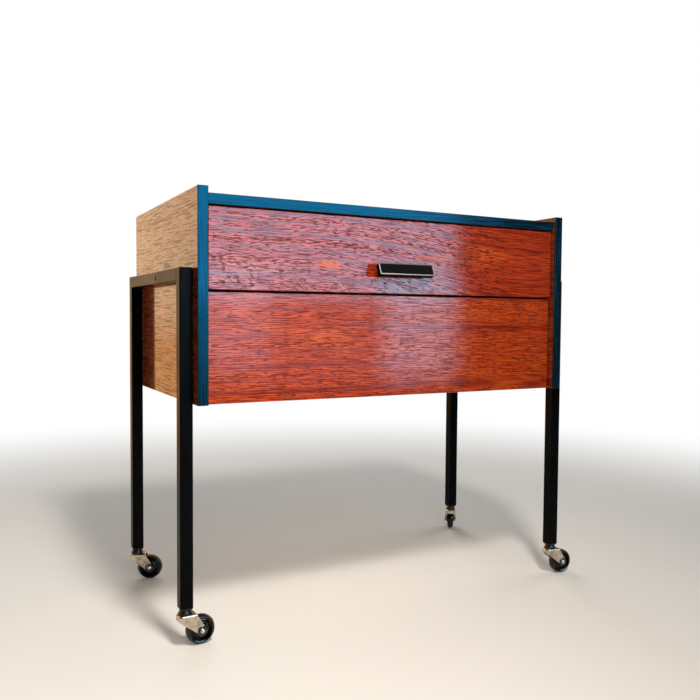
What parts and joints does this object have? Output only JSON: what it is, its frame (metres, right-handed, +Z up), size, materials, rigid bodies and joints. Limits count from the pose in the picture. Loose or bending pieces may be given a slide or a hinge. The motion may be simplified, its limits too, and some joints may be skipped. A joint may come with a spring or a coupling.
{
  "type": "sewing box",
  "caption": "Wooden sewing cabinet with drawers one above the other, hung between square-tube leg frames on swivel castors, with a tilted bar handle.",
  "frame": {"origin": "on the floor, under the middle of the case", "axes": "+Z up, +X along the case's width to the right as seen from the front, +Y to the back; the drawers open towards -Y"},
  "size_m": [0.6703, 0.3636, 0.5885],
  "materials": {
    "teak_veneer": "varnished teak veneer",
    "edge_lacquer": "blue-black lacquer, glossy",
    "birch_plywood": "plain plywood",
    "beech": "waxed beech",
    "black_steel": "satin black",
    "screw_steel": "plain",
    "plug_plastic": "moulded",
    "bright_aluminium": "polished",
    "handle_black": "glossy",
    "zinc_plate": "zinc plated",
    "dark_steel": "blackened",
    "rivet_steel": "bright",
    "cap_plastic": "moulded",
    "wheel_black": "moulded"
  },
  "bodies": {
    "cabinet": {"left_side_panel": "teak_veneer", "right_side_panel": "teak_veneer", "top_panel": "teak_veneer", "left_edge_band": "edge_lacquer", "right_edge_band": "edge_lacquer", "top_edge_band": "edge_lacquer", "bottom_panel": "birch_plywood", "back_panel": "birch_plywood", "upper_left_runner": "beech", "upper_right_runner": "beech", "lower_left_runner": "beech", "lower_right_runner": "beech", "left_front_leg": "black_steel", "left_rear_leg": "black_steel", "left_frame_bar": "black_steel", "right_front_leg": "black_steel", "right_rear_leg": "black_steel", "right_frame_bar": "black_steel", "frame_spacers": "black_steel", "frame_screws": "screw_steel", "leg_plugs": "plug_plastic"},
    "upper_drawer": {"upper_drawer_front": "teak_veneer", "upper_drawer_left_side": "beech", "upper_drawer_right_side": "beech", "upper_drawer_back": "beech", "upper_drawer_floor": "birch_plywood", "upper_drawer_long_divider": "beech", "upper_drawer_cross_dividers": "beech", "handle_bar": "handle_black", "handle_trim": "bright_aluminium", "handle_posts": "handle_black", "handle_screws": "screw_steel"},
    "lower_drawer": {"lower_drawer_front": "teak_veneer", "lower_drawer_left_side": "beech", "lower_drawer_right_side": "beech", "lower_drawer_back": "beech", "lower_drawer_floor": "birch_plywood"},
    "front_left_castor": {"front_left_castor_fork": "zinc_plate", "front_left_castor_stem": "dark_steel", "front_left_castor_axle": "rivet_steel", "front_left_castor_caps": "cap_plastic"},
    "front_left_wheel": {"front_left_castor_wheel": "wheel_black"},
    "rear_left_castor": {"rear_left_castor_fork": "zinc_plate", "rear_left_castor_stem": "dark_steel", "rear_left_castor_axle": "rivet_steel", "rear_left_castor_caps": "cap_plastic"},
    "rear_left_wheel": {"rear_left_castor_wheel": "wheel_black"},
    "front_right_castor": {"front_right_castor_fork": "zinc_plate", "front_right_castor_stem": "dark_steel", "front_right_castor_axle": "rivet_steel", "front_right_castor_caps": "cap_plastic"},
    "front_right_wheel": {"front_right_castor_wheel": "wheel_black"},
    "rear_right_castor": {"rear_right_castor_fork": "zinc_plate", "rear_right_castor_stem": "dark_steel", "rear_right_castor_axle": "rivet_steel", "rear_right_castor_caps": "cap_plastic"},
    "rear_right_wheel": {"rear_right_castor_wheel": "wheel_black"}
  },
  "joints": [
    {"name": "upper_drawer_slide", "type": "slide", "parent": "cabinet", "child": "upper_drawer", "axis": [0, -1, 0], "range_m": [0, 0.25]},
    {"name": "lower_drawer_slide", "type": "slide", "parent": "cabinet", "child": "lower_drawer", "axis": [0, -1, 0], "range_m": [0, 0.25]},
    {"name": "front_left_castor_swivel", "type": "hinge", "parent": "cabinet", "child": "front_left_castor", "pos_m": [-0.3097, -0.1495, 0.046], "axis": [0, 0, 1], "continuous": true},
    {"name": "front_left_wheel_spin", "type": "hinge", "parent": "front_left_castor", "child": "front_left_wheel", "pos_m": [-0.28973, -0.14845, 0.0195], "axis": [-0.0523, 0.9986, 0], "continuous": true},
    {"name": "rear_left_castor_swivel", "type": "hinge", "parent": "cabinet", "child": "rear_left_castor", "pos_m": [-0.3097, 0.1335, 0.046], "axis": [0, 0, 1], "continuous": true},
    {"name": "rear_left_wheel_spin", "type": "hinge", "parent": "rear_left_castor", "child": "rear_left_wheel", "pos_m": [-0.29091, 0.12666, 0.0195], "axis": [0.342, 0.9397, 0], "continuous": true},
    {"name": "front_right_castor_swivel", "type": "hinge", "parent": "cabinet", "child": "front_right_castor", "pos_m": [0.3097, -0.1495, 0.046], "axis": [0, 0, 1], "continuous": true},
    {"name": "front_right_wheel_spin", "type": "hinge", "parent": "front_right_castor", "child": "front_right_wheel", "pos_m": [0.32955, -0.15194, 0.0195], "axis": [0.1219, 0.9925, 0], "continuous": true},
    {"name": "rear_right_castor_swivel", "type": "hinge", "parent": "cabinet", "child": "rear_right_castor", "pos_m": [0.3097, 0.1335, 0.046], "axis": [0, 0, 1], "continuous": true},
    {"name": "rear_right_wheel_spin", "type": "hinge", "parent": "rear_right_castor", "child": "rear_right_wheel", "pos_m": [0.32088, 0.15008, 0.0195], "axis": [-0.829, 0.5592, 0], "continuous": true}
  ]
}
